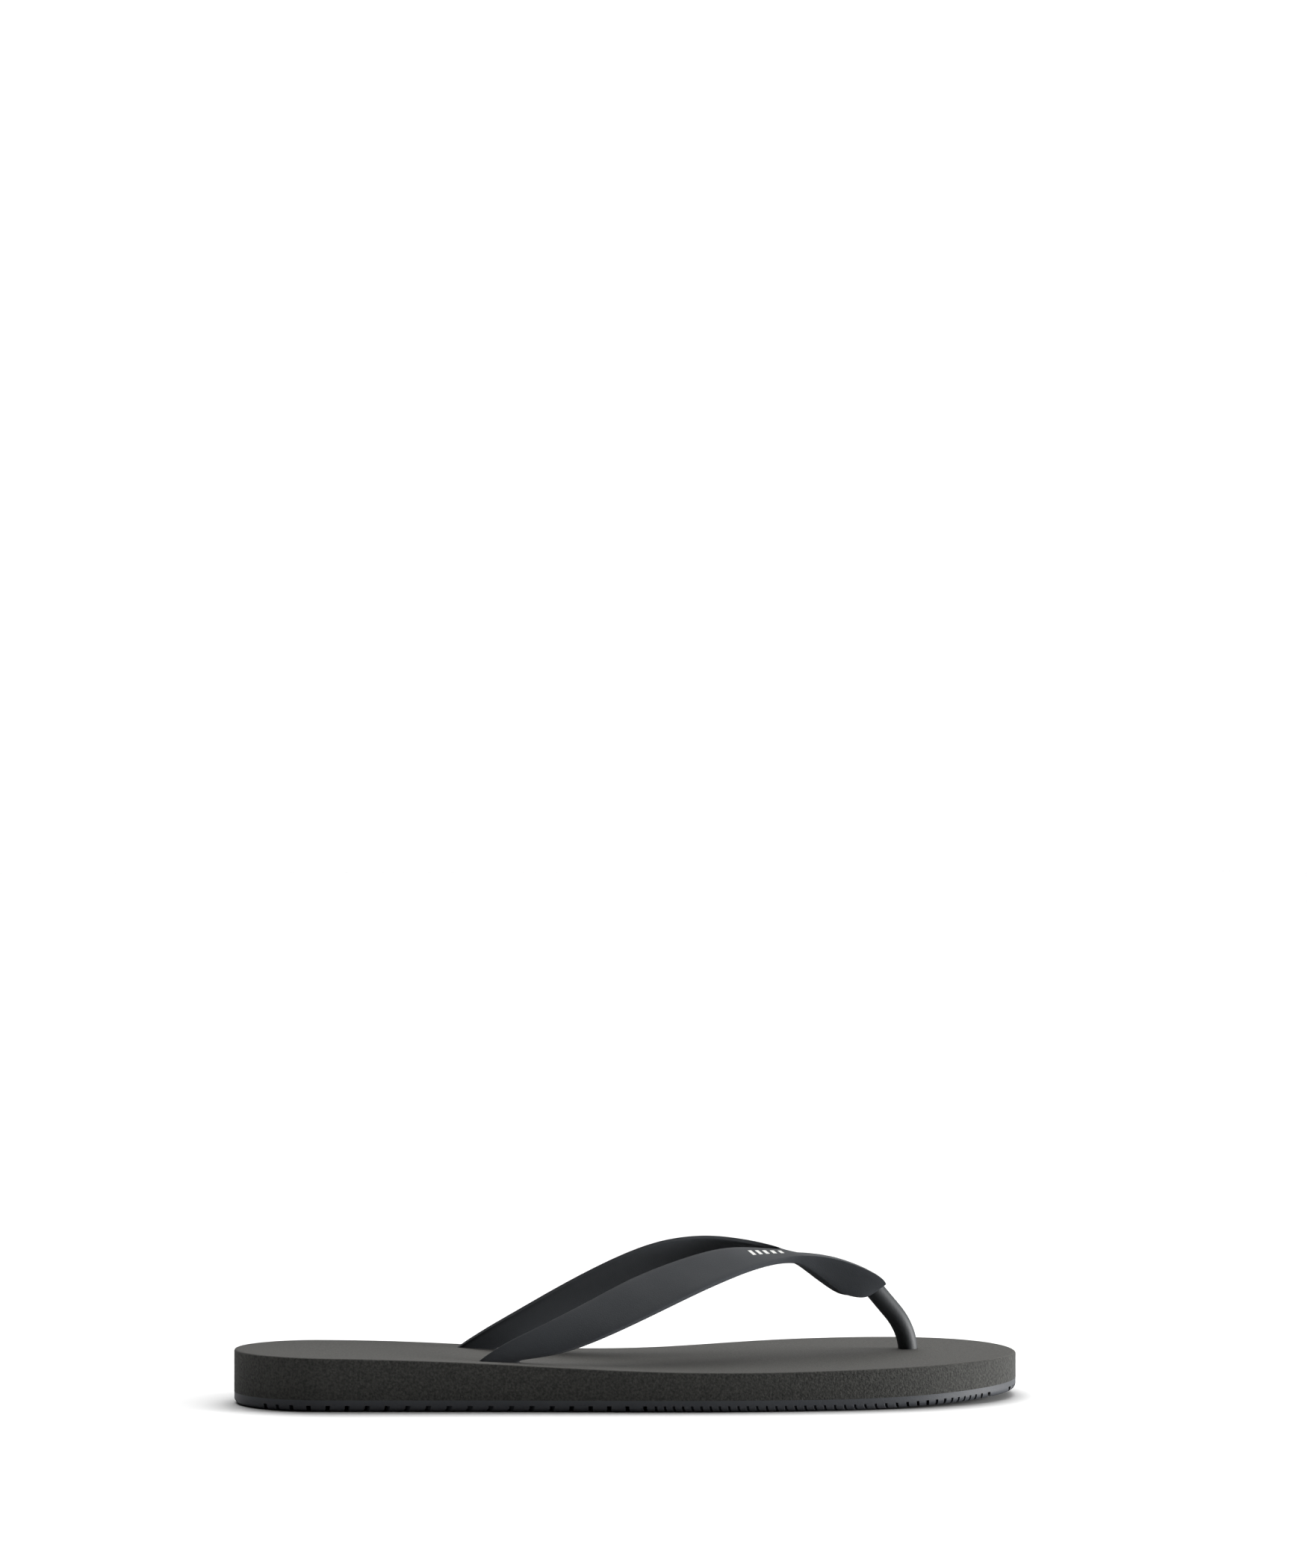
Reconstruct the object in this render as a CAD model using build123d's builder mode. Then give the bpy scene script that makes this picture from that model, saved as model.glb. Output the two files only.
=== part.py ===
from build123d import *
import os

# A right-foot flip flop, EU size 42, in millimetres.
# X runs from heel to toe, Y from the little-toe side to the big-toe side, Z up from the ground.
# The origin is on the ground, midway along and across the sole.

# Sole plan
LENGTH = 280.0
WIDTH = 105.6
HEEL_RADIUS = 34.0
HEEL_TANGENT_ANGLE = 6.9  # how far the little-toe side leans away from X
BALL_LATERAL_X = 50.0  # where the little-toe side is widest
BALL_MEDIAL_X = 72.0  # where the big-toe side is widest
TOE_TIP_Y = 4.0
LATERAL_MIDDLE = (-35.0, -43.4)
TOE_LATERAL = (118.0, -37.5)
TOE_MEDIAL = (120.0, 43.0)
ARCH_FRONT = (12.0, 39.5)
WAIST = (-50.0, 31.5)  # the narrow place under the arch

# Sole section
OUTSOLE = 3.9  # thickness of the rubber outsole
RIM_RADIUS = 1.8  # rounding round the outsole's lower rim
SPRING_START = 62.0  # where the sole starts to turn up towards the toe
TOE_SPRING = 2.5  # how far the toe tip stands off the ground
HEEL_TOP = 18.8  # footbed height at the back edge
TOE_TOP = 15.2  # footbed height at the toe tip
TOP_STATIONS = [-95.0, -60.0, -25.0, 15.0, 55.0, 105.0]
LATERAL_TOP = [18.1, 17.0, 15.2, 13.7, 13.6, 14.6]  # footbed height at each station
MEDIAL_TOP = [18.2, 16.8, 14.6, 13.9, 14.7, 15.6]
MARGIN = 8.0  # how far working solids stand out past the sole

# Bend line across the ball of the foot
BEND_LATERAL_X = 29.0
BEND_MEDIAL_X = 70.0
BEND_GAP = 0.3  # between the rear and front halves

# Strap bands: the right and left edge of each section's upper face, from the slot to the nose
STRAP_THICK = 2.2
NECK_LONG = 14.5  # the strap's end where it goes down through the sole
LATERAL_NECK = (-48.8, -31.8)
MEDIAL_NECK = (-52.0, 17.2)
NECK_TOP_Z = 16.9
LATERAL_BAND = [
    ((-31.5, -33.0, 18.7), (-46.6, -30.8, 22.9)),
    ((-21.6, -32.6, 21.2), (-34.6, -28.0, 28.2)),
    ((-8.0, -31.0, 26.5), (-18.0, -21.0, 35.4)),
    ((8.5, -25.8, 33.4), (-0.5, -11.4, 43.0)),
    ((25.0, -18.6, 40.2), (17.2, -2.2, 48.6)),
    ((42.0, -8.9, 45.8), (35.0, 5.8, 52.4)),
    ((54.0, -1.2, 48.2), (50.3, 11.4, 51.6)),
    ((66.0, 5.0, 48.6), (66.0, 12.5, 49.4)),
]
MEDIAL_BAND = [
    ((-49.5, 14.8, 23.8), (-34.5, 19.5, 19.4)),
    ((-36.3, 13.2, 31.5), (-24.0, 22.8, 23.2)),
    ((-20.1, 13.4, 40.3), (-12.0, 25.6, 29.0)),
    ((-1.0, 15.4, 49.0), (4.5, 28.6, 37.0)),
    ((15.5, 17.2, 54.2), (20.5, 29.6, 43.6)),
    ((33.0, 18.6, 55.4), (37.0, 28.2, 47.0)),
    ((50.0, 16.4, 52.8), (51.5, 23.6, 48.2)),
    ((66.0, 9.0, 49.4), (66.0, 15.6, 48.6)),
]

# Strap nose: X, top, bottom and width of each section
NOSE_Y = 10.2
NOSE = [
    (61.0, 49.6, 45.6, 14.5),
    (69.0, 49.0, 41.2, 12.2),
    (77.0, 47.9, 36.6, 11.0),
    (84.5, 45.4, 34.6, 10.6),
    (90.5, 41.8, 35.4, 9.6),
    (94.0, 39.6, 37.6, 6.0),
]
NOSE_LEAN = [-0.45, -0.45, -0.4, -0.3, -0.3, -0.6]  # how steeply each section's normal falls
NOSE_ROUND = 0.3  # corner radius as a share of a nose section's smaller side

# Toe post
POST_DIAMETER = 7.0
POST_X = 102.8
POST_Y = 10.0
POST_BEND_Z = 13.0  # the post is upright below here
POST_BEND_RADIUS = 24.0
POST_LEAN = 40.0  # degrees off upright at the top
POST_RUN = 12.0  # straight run into the strap's nose

# Plugs that hold the strap and the post from below
PLUG_DIAMETER = 16.0
PLUG_THICK = 2.4
PLUG_BASE_Z = 0.5  # the plug's face is this far up inside its recess
PLUG_CLEARANCE = 0.4
SOCKET_DEPTH = 1.2  # how far each neck and the post go into their plug
HOLE_CLEARANCE = 0.15
PLUG_ROUND = 0.8  # rounding of a plug's lower edge
SOCKET_Z = PLUG_BASE_Z + PLUG_THICK - SOCKET_DEPTH
NECKS = [LATERAL_NECK, MEDIAL_NECK]
POST = (POST_X, POST_Y)
PLUGS = [
    ("lateral_plug", LATERAL_NECK, False),
    ("medial_plug", MEDIAL_NECK, False),
    ("toe_plug", POST, True),
]

os.makedirs("parts", exist_ok=True)


def finish(builder, name):
    """Labels a finished sub-part and writes it."""
    builder.part.label = name
    export_step(builder.part, f"parts/{name}.step")


def sole_plan():
    """The outline of the sole seen from above."""
    back, front, side = -LENGTH / 2, LENGTH / 2, WIDTH / 2
    tip = (front, TOE_TIP_Y)
    ball_lateral = (BALL_LATERAL_X, -side)
    ball_medial = (BALL_MEDIAL_X, side)
    with BuildSketch() as plan:
        with BuildLine():
            heel = CenterArc((back + HEEL_RADIUS, 0), HEEL_RADIUS, 90, 180 - HEEL_TANGENT_ANGLE)
            Spline(heel @ 1, LATERAL_MIDDLE, ball_lateral, tangents=[heel % 1, (1, 0)])
            Spline(ball_lateral, TOE_LATERAL, tip, tangents=[(1, 0), (0, 1)])
            Spline(tip, TOE_MEDIAL, ball_medial, tangents=[(0, 1), (-1, 0)])
            Spline(ball_medial, ARCH_FRONT, WAIST, heel @ 0, tangents=[(-1, 0), (-1, 0)])
        make_face()
    return plan.sketch


def base_lines(lift):
    """The sole's level underside and the toe spring's arc, raised by lift. Returns their ends."""
    half = LENGTH / 2
    run = half - SPRING_START
    radius = (run**2 + TOE_SPRING**2) / (2 * TOE_SPRING) - lift
    reach = run + MARGIN
    rise = radius - (radius**2 - reach**2) ** 0.5
    back, start, front = (-half - MARGIN, lift), (SPRING_START, lift), (half + MARGIN, lift + rise)
    Line(back, start)
    TangentArc(start, front, tangent=(1, 0))
    return back, front


def slab_side(low, high):
    """The side view of the part of the sole between two heights, with the toe spring."""
    with BuildSketch(Plane.XZ) as side:
        with BuildLine():
            back, front = base_lines(low)
            top_back, top_front = base_lines(high)
            Line(back, top_back)
            Line(front, top_front)
        make_face()
    return side.sketch


def footbed_side(y, heights):
    """The footbed's side view at one Y, from the outsole up to the curved top line."""
    half = LENGTH / 2 + MARGIN
    stations = list(zip(TOP_STATIONS, heights))
    with BuildSketch(Plane.XZ.offset(-y)) as side:
        with BuildLine():
            back, front = base_lines(OUTSOLE)
            Line(front, (half, TOE_TOP))
            Spline((half, TOE_TOP), *reversed(stations), (-half, HEEL_TOP))
            Line((-half, HEEL_TOP), back)
        make_face()
    return side.sketch


def strap_holes():
    """The two neck slots and the post's hole, as faces below the ground."""
    with BuildSketch(Plane.XY.offset(-MARGIN)) as holes:
        with Locations(*NECKS):
            Rectangle(NECK_LONG + 2 * HOLE_CLEARANCE, STRAP_THICK + 2 * HOLE_CLEARANCE)
        with Locations(POST):
            Circle(POST_DIAMETER / 2 + HOLE_CLEARANCE)
    return holes.sketch


def plug_recesses():
    """The round recesses for the three plugs, as faces below the ground."""
    with BuildSketch(Plane.XY.offset(-MARGIN)) as recesses:
        with Locations(*NECKS, POST):
            Circle(PLUG_DIAMETER / 2 + PLUG_CLEARANCE)
    return recesses.sketch


def half_of(whole, name, side):
    """Writes the part of the sole on one side of the bend line: 1 is in front, -1 behind."""
    along = Vector(BEND_MEDIAL_X - BEND_LATERAL_X, WIDTH, 0).normalized()
    outward = Vector(along.Y, -along.X, 0) * side
    middle = Vector((BEND_LATERAL_X + BEND_MEDIAL_X) / 2, 0, 0) + outward * (BEND_GAP / 2)
    with BuildPart() as kept:
        add(whole)
        split(bisect_by=Plane(middle, x_dir=along, z_dir=outward), keep=Keep.TOP)
    finish(kept, name)


def band_section(right, left, ahead):
    """One section of a strap band, square to its path, under the line between its two edges."""
    right, left, ahead = Vector(*right), Vector(*left), Vector(*ahead)
    middle, across = (right + left) * 0.5, left - right
    up = (ahead - middle).cross(across)
    with BuildSketch(Plane(middle, x_dir=across, z_dir=across.cross(up))) as section:
        Rectangle(across.length, STRAP_THICK, align=(Align.CENTER, Align.MAX))
    return section.sketch


def band_sections(neck, turn, edges):
    """The sections of one strap band, from the top of its neck to the nose."""
    with BuildSketch(Plane.XY.offset(NECK_TOP_Z)) as root:
        with Locations(Location(neck, turn)):
            Rectangle(NECK_LONG, STRAP_THICK)
    middles = [(Vector(*right) + Vector(*left)) * 0.5 for right, left in edges]
    middles.append(middles[-1] * 2 - middles[-2])
    sections = [band_section(*pair, tuple(ahead)) for pair, ahead in zip(edges, middles[1:])]
    return [root.sketch, *sections]


def nose_sections():
    """The sections of the strap's nose, each square to the line that it follows down to its tip."""
    middles = [Vector(x, NOSE_Y, (top + bottom) / 2) for x, top, bottom, width in NOSE]
    middles.append(middles[-1] * 2 - middles[-2])
    sections = []
    for i, (x, top, bottom, width) in enumerate(NOSE):
        height = top - bottom
        with BuildSketch(Plane(middles[i], x_dir=(0, 1, 0), z_dir=(1, 0, NOSE_LEAN[i]))) as section:
            RectangleRounded(width, height, NOSE_ROUND * min(width, height))
        sections.append(section.sketch)
    return sections


def neck_roots():
    """The bottom faces of the strap's two necks, inside their plugs."""
    with BuildSketch(Plane.XY.offset(SOCKET_Z)) as roots:
        with Locations(*NECKS):
            Rectangle(NECK_LONG, STRAP_THICK)
    return roots.sketch


def post_solid():
    """The toe post: upright through the sole, then bent back up into the strap's nose."""
    with BuildPart() as post:
        with BuildLine(Plane.XZ.offset(-POST_Y)) as path:
            upright = Line((POST_X, SOCKET_Z), (POST_X, POST_BEND_Z))
            bend = JernArc(upright @ 1, (0, 1), POST_BEND_RADIUS, POST_LEAN)
            Line(bend @ 1, bend @ 1 + (bend % 1) * POST_RUN)
        with BuildSketch(Plane.XY.offset(SOCKET_Z)):
            with Locations(POST):
                Circle(POST_DIAMETER / 2)
        sweep(path=path.wire())
    return post.part


# Footbed: the thick foam sole that the foot stands on
with BuildPart() as footbed:
    add(footbed_side(-WIDTH / 2 - MARGIN, LATERAL_TOP))
    add(footbed_side(WIDTH / 2 + MARGIN, MEDIAL_TOP))
    loft(ruled=True)
    extrude(sole_plan(), amount=HEEL_TOP + MARGIN, mode=Mode.INTERSECT)
    extrude(strap_holes(), amount=HEEL_TOP + 2 * MARGIN, mode=Mode.SUBTRACT)
half_of(footbed.part, "footbed_rear", -1)
half_of(footbed.part, "footbed_fore", 1)

# Outsole: the rubber layer under the footbed, with its lower rim rounded
with BuildPart() as outsole:
    extrude(sole_plan(), amount=HEEL_TOP)
    extrude(slab_side(0, OUTSOLE), amount=WIDTH, both=True, mode=Mode.INTERSECT)
    fillet(outsole.faces().sort_by(Axis.Z)[0].outer_wire().edges(), RIM_RADIUS)
    extrude(strap_holes(), amount=HEEL_TOP + 2 * MARGIN, mode=Mode.SUBTRACT)
    extrude(plug_recesses(), amount=MARGIN + PLUG_BASE_Z + PLUG_THICK, mode=Mode.SUBTRACT)
half_of(outsole.part, "outsole_rear", -1)
half_of(outsole.part, "outsole_fore", 1)

# Strap: one rubber moulding of two bands that meet in a nose over the toe post
with BuildPart() as strap:
    for neck, turn, edges in [(LATERAL_NECK, 180, LATERAL_BAND), (MEDIAL_NECK, 0, MEDIAL_BAND)]:
        for section in band_sections(neck, turn, edges):
            add(section)
        loft()
    for section in nose_sections():
        add(section)
    loft()
    extrude(neck_roots(), amount=NECK_TOP_Z - SOCKET_Z)
    add(post_solid(), mode=Mode.SUBTRACT)
finish(strap, "strap")

# Toe post: the round cord between the big toe and its neighbour
with BuildPart() as toe_post:
    add(post_solid())
finish(toe_post, "toe_post")

# Plugs: round rubber buttons that hold the necks and the post from below
for name, centre, is_post in PLUGS:
    with BuildPart() as plug:
        with BuildSketch(Plane.XY.offset(PLUG_BASE_Z)):
            with Locations(centre):
                Circle(PLUG_DIAMETER / 2)
        extrude(amount=PLUG_THICK)
        with BuildSketch(Plane.XY.offset(SOCKET_Z)):
            with Locations(centre):
                if is_post:
                    Circle(POST_DIAMETER / 2)
                else:
                    Rectangle(NECK_LONG, STRAP_THICK)
        extrude(amount=PLUG_THICK, mode=Mode.SUBTRACT)
        fillet(plug.edges().filter_by(GeomType.CIRCLE).group_by(Axis.Z)[0], PLUG_ROUND)
    finish(plug, name)
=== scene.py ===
"""A right-foot flip flop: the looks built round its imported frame.

X runs from heel to toe, Y from the little-toe side to the big-toe side and Z up, in metres.
The sole is modelled flat, as it is cut, and then pressed to its real heights.
"""

from __future__ import annotations

import logging
import math
from collections.abc import Callable, Iterable
from dataclasses import dataclass, field
from enum import Enum

import bmesh
import bpy
import numpy as np
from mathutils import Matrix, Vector

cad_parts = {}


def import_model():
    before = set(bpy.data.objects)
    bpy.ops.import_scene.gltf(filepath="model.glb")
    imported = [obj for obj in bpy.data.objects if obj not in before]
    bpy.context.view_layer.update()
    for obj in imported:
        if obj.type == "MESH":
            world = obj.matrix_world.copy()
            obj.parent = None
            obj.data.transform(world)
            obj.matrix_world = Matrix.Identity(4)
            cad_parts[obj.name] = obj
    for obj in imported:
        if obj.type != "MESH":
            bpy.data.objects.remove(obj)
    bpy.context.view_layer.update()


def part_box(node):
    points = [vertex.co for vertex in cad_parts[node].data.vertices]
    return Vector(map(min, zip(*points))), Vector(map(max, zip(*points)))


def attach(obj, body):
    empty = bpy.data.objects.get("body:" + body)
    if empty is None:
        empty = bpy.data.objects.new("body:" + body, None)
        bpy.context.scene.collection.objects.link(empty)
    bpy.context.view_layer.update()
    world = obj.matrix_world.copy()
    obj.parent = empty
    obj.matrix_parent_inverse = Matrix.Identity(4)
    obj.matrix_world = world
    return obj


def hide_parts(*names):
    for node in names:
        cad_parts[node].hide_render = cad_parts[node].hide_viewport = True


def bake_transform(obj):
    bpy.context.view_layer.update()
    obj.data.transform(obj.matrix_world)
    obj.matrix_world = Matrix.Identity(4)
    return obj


MM = 0.001
NECK_PLUGS = ("lateral_plug", "medial_plug")
PLUGS = (*NECK_PLUGS, "toe_plug")
HALF_LONG = 0.14
"""Half the sole's length, from the frame's middle to the toe's tip."""
CAP_SIDES = 8
"""A face with more corners than this is the flat end of a slab or a disc."""
TOUCH = 0.01 * MM
"""Points closer than this to a plane lie in it."""
SLACK = 0.1
"""The strap's cage is laid out on whole numbers, and this much room tells them apart."""
Point = tuple[float, float, float]
log = logging.getLogger("flip_flop")


class Body(Enum):
    """The two bodies that the sole's bend joins."""

    FORE = "forefoot"
    REAR = "rearfoot"


# ---------------------------------------------------------------- shared modelling steps


def mm(*values: float) -> Vector:
    """A point given in millimetres, as a vector in metres."""
    return Vector(values) * MM


def middle_of(node: str) -> Vector:
    """The middle of a CAD node's box."""
    low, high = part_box(node)
    return (low + high) / 2


def start_fresh() -> None:
    """Leaves edit mode and deselects everything, ready for a new primitive."""
    if bpy.context.object and bpy.context.object.mode != "OBJECT":
        bpy.ops.object.mode_set(mode="OBJECT")
    bpy.ops.object.select_all(action="DESELECT")


def named(name: str) -> bpy.types.Object:
    """Names the active object and its mesh, and returns it."""
    made = bpy.context.object
    made.name = made.data.name = name
    return made


def edit(obj: bpy.types.Object, kind: str = "FACE") -> None:
    """Opens one object in edit mode with nothing in it selected.

    Args:
        obj: the object to edit.
        kind: VERT, EDGE or FACE, which operators then select by.
    """
    start_fresh()
    bpy.context.view_layer.objects.active = obj
    obj.select_set(True)
    bpy.ops.object.mode_set(mode="EDIT")
    bpy.ops.mesh.select_mode(type=kind)
    bpy.ops.mesh.select_all(action="DESELECT")


def pick_faces(obj: bpy.types.Object, test: Callable[[bmesh.types.BMFace], bool]) -> None:
    """Selects the faces of the edited mesh that pass a test."""
    mesh = bmesh.from_edit_mesh(obj.data)
    for face in mesh.faces:
        face.select_set(bool(test(face)))
    bmesh.update_edit_mesh(obj.data)


def pick_edges(obj: bpy.types.Object, test: Callable[[bmesh.types.BMEdge], bool]) -> None:
    """Selects the edges of the edited mesh that pass a test."""
    mesh = bmesh.from_edit_mesh(obj.data)
    for edge in mesh.edges:
        edge.select_set(bool(test(edge)))
    bmesh.update_edit_mesh(obj.data)


def apply_modifier(obj: bpy.types.Object, kind: str, **settings: object) -> None:
    """Adds a modifier with its settings, and applies it."""
    start_fresh()
    bpy.context.view_layer.objects.active = obj
    obj.select_set(True)
    modifier = obj.modifiers.new(kind.lower(), kind)
    for key, value in settings.items():
        setattr(modifier, key, value)
    bpy.ops.object.modifier_apply(modifier=modifier.name)


def cut_away(obj: bpy.types.Object, cutters: Iterable[bpy.types.Object]) -> None:
    """Takes each cutter's shape out of an object, and deletes the cutter."""
    for cutter in cutters:
        apply_modifier(obj, "BOOLEAN", operation="DIFFERENCE", solver="EXACT", object=cutter)
        bpy.data.objects.remove(cutter)


def slice_at(obj: bpy.types.Object, places: Iterable[float], normal: Point) -> None:
    """Cuts every face where it crosses a row of parallel planes, so that the mesh can bend there.

    Args:
        obj: the object to slice.
        places: the planes' distances along the normal, in metres.
        normal: the planes' normal.
    """
    edit(obj)
    for place in places:
        bpy.ops.mesh.select_all(action="SELECT")
        bpy.ops.mesh.bisect(plane_co=Vector(normal) * place, plane_no=normal)
    bpy.ops.object.mode_set(mode="OBJECT")


def coordinates(obj: bpy.types.Object) -> np.ndarray:
    """The object's vertices as rows of X, Y and Z."""
    flat = np.empty(len(obj.data.vertices) * 3)
    obj.data.vertices.foreach_get("co", flat)
    return flat.reshape(-1, 3)


def corners_facing_up(obj: bpy.types.Object, steep: float = 0.9) -> np.ndarray:
    """The vertices of the object's faces whose normal's Z is over a limit."""
    used = {v for face in obj.data.polygons if face.normal.z > steep for v in face.vertices}
    return coordinates(obj)[sorted(used)]


def place(obj: bpy.types.Object, points: np.ndarray) -> None:
    """Moves the object's vertices to new places."""
    obj.data.vertices.foreach_set("co", np.asarray(points, float).ravel())
    obj.data.update()


def smooth(obj: bpy.types.Object, angle: float = 40.0) -> None:
    """Turns the normals outwards and shades the object smooth up to an angle in degrees."""
    edit(obj)
    bpy.ops.mesh.select_all(action="SELECT")
    bpy.ops.mesh.normals_make_consistent(inside=False)
    bpy.ops.object.mode_set(mode="OBJECT")
    bpy.ops.object.shade_smooth_by_angle(angle=math.radians(angle))


def through(stations: np.ndarray, per_step: int) -> np.ndarray:
    """Draws a smooth line through stations, with several points to each step.

    Args:
        stations: one row for each station, of any number of values.
        per_step: how many points to put on each step.

    Returns:
        Rows along a Catmull-Rom curve, the first and last station included.
    """
    padded = np.vstack([2 * stations[0] - stations[1], stations, 2 * stations[-1] - stations[-2]])
    rows = []
    for a, b, c, d in zip(padded, padded[1:], padded[2:], padded[3:]):
        for t in np.arange(per_step) / per_step:
            cubic = (-a + 3 * b - 3 * c + d) * t**3 + (2 * a - 5 * b + 4 * c - d) * t**2
            rows.append(b + ((c - a) * t + cubic) / 2)
    return np.array([*rows, stations[-1]])


# ---------------------------------------------------------------- finishes


def linear(code: str) -> tuple[float, float, float, float]:
    """Turns an sRGB hex colour, such as #3a3a38, to linear red, green, blue and alpha."""
    parts = [int(code[i : i + 2], 16) / 255 for i in (1, 3, 5)]
    bent = [p / 12.92 if p <= 0.04045 else ((p + 0.055) / 1.055) ** 2.4 for p in parts]
    return (*bent, 1.0)


def add_node(
    tree: bpy.types.NodeTree, kind: str, links: dict | None = None, **settings: object
) -> bpy.types.Node:
    """Adds a node with its settings, values and links.

    Args:
        tree: the node tree.
        kind: the node's type, without the leading ShaderNode.
        links: input name or number to a value, or to an output socket to link.
        settings: the node's own properties.

    Returns:
        The node.
    """
    node = tree.nodes.new("ShaderNode" + kind)
    for key, value in settings.items():
        setattr(node, key, value)
    for key, value in (links or {}).items():
        if isinstance(value, bpy.types.NodeSocket):
            tree.links.new(value, node.inputs[key])
        else:
            node.inputs[key].default_value = value
    return node


@dataclass(frozen=True)
class Finish:
    """What every finish shares: a named material with one Principled shader."""

    name: str
    colour: str
    roughness: float
    ior: float = 1.5

    def make(self) -> bpy.types.Material:
        """Makes the material, with its surface detail from dress()."""
        material = bpy.data.materials.new(self.name)
        material.use_nodes = True
        tree = material.node_tree
        shader = tree.nodes["Principled BSDF"]
        shader.inputs["Base Color"].default_value = linear(self.colour)
        shader.inputs["Roughness"].default_value = self.roughness
        shader.inputs["IOR"].default_value = self.ior
        self.dress(tree, shader)
        return material

    def dress(self, tree: bpy.types.NodeTree, shader: bpy.types.Node) -> None:
        """Adds the finish's own detail. A plain finish has none."""


@dataclass(frozen=True)
class FoamFinish(Finish):
    """Closed-cell EVA foam, whose cells of 0.3 to 0.6 mm show as fine pits and paler specks."""

    speck_colour: str = "#3d3d3a"
    soft: float = 0.16
    grain: float = 0.6 * MM
    depth: float = 0.15 * MM
    cloudy: float = 0.12
    clouds: float = 28.0

    def dress(self, tree: bpy.types.NodeTree, shader: bpy.types.Node) -> None:
        """Pits the surface, scatters the specks and clouds the colour a little."""
        where = add_node(tree, "TexCoord").outputs["Object"]
        cells = add_node(tree, "TexVoronoi", {"Vector": where, "Scale": 1 / self.grain})
        fine = add_node(tree, "TexNoise", {"Vector": where, "Scale": 0.8 / self.grain, "Detail": 4.0})
        cloud = add_node(tree, "TexNoise", {"Vector": where, "Scale": self.clouds, "Detail": 2.0})
        ramp = {"Value": fine.outputs[0], "From Min": 0.5 - self.soft, "From Max": 0.5 + self.soft}
        specks = add_node(tree, "MapRange", ramp)
        dark = (*[(1 - self.cloudy) * c for c in linear(self.colour)[:3]], 1.0)
        clouded = {"Factor": cloud.outputs[0], 6: dark, 7: linear(self.colour)}
        ground = add_node(tree, "Mix", clouded, data_type="RGBA")
        speckled = {"Factor": specks.outputs[0], 6: ground.outputs[2], 7: linear(self.speck_colour)}
        tone = add_node(tree, "Mix", speckled, data_type="RGBA")
        tree.links.new(tone.outputs[2], shader.inputs["Base Color"])
        pits = add_node(tree, "Math", {0: cells.outputs["Distance"], 1: fine.outputs[0]}, operation="ADD")
        relief = {"Height": pits.outputs[0], "Distance": self.depth, "Strength": 1.0}
        bump = add_node(tree, "Bump", relief)
        tree.links.new(bump.outputs[0], shader.inputs["Normal"])


@dataclass(frozen=True)
class RubberFinish(Finish):
    """Moulded rubber, with a fine spark-eroded grain from the mould and faint cloudy wear."""

    grain: float = 0.4 * MM
    depth: float = 0.06 * MM
    wear: float = 0.08
    clouds: float = 60.0

    def dress(self, tree: bpy.types.NodeTree, shader: bpy.types.Node) -> None:
        """Adds the mould's grain and slightly uneven gloss."""
        where = add_node(tree, "TexCoord").outputs["Object"]
        grain = add_node(tree, "TexNoise", {"Vector": where, "Scale": 1 / self.grain, "Detail": 3.0})
        relief = {"Height": grain.outputs[0], "Distance": self.depth, "Strength": 1.0}
        bump = add_node(tree, "Bump", relief)
        tree.links.new(bump.outputs[0], shader.inputs["Normal"])
        cloud = add_node(tree, "TexNoise", {"Vector": where, "Scale": self.clouds, "Detail": 3.0})
        low, high = self.roughness - self.wear, self.roughness + self.wear
        gloss = add_node(tree, "MapRange", {"Value": cloud.outputs[0], "To Min": low, "To Max": high})
        tree.links.new(gloss.outputs[0], shader.inputs["Roughness"])


@dataclass(frozen=True)
class PrintedRubberFinish(RubberFinish):
    """The strap's rubber with a short row of plain bars printed on the outer band.

    The bars' places are in the strap's own map, as numbers of rings along it and shares across it.
    """

    ink: str = "#cfcfcc"
    first: float = 7.35
    last: float = 9.2
    bars: int = 5
    bar_share: float = 0.5
    low: float = 0.5
    high: float = 0.78

    def dress(self, tree: bpy.types.NodeTree, shader: bpy.types.Node) -> None:
        """Adds the printed bars over the rubber."""
        super().dress(tree, shader)
        spot = add_node(tree, "UVMap", uv_map="strap_map").outputs["UV"]
        split = add_node(tree, "SeparateXYZ", {0: spot})
        run = {"Value": split.outputs["X"], "From Min": self.first, "From Max": self.last}
        run["To Max"] = self.bars
        along = add_node(tree, "MapRange", run)
        part = add_node(tree, "Math", {0: along.outputs[0], 1: 1.0}, operation="MODULO")
        tests = [
            ("LESS_THAN", part.outputs[0], self.bar_share),
            ("GREATER_THAN", split.outputs["X"], self.first),
            ("LESS_THAN", split.outputs["X"], self.last),
            ("GREATER_THAN", split.outputs["Y"], self.low),
            ("LESS_THAN", split.outputs["Y"], self.high),
        ]
        printed = None
        for kind, value, limit in tests:
            passed = add_node(tree, "Math", {0: value, 1: limit}, operation=kind).outputs[0]
            if printed is not None:
                passed = add_node(tree, "Math", {0: printed, 1: passed}, operation="MULTIPLY").outputs[0]
            printed = passed
        tones = {"Factor": printed, 6: linear(self.colour), 7: linear(self.ink)}
        tone = add_node(tree, "Mix", tones, data_type="RGBA")
        tree.links.new(tone.outputs[2], shader.inputs["Base Color"])


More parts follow.
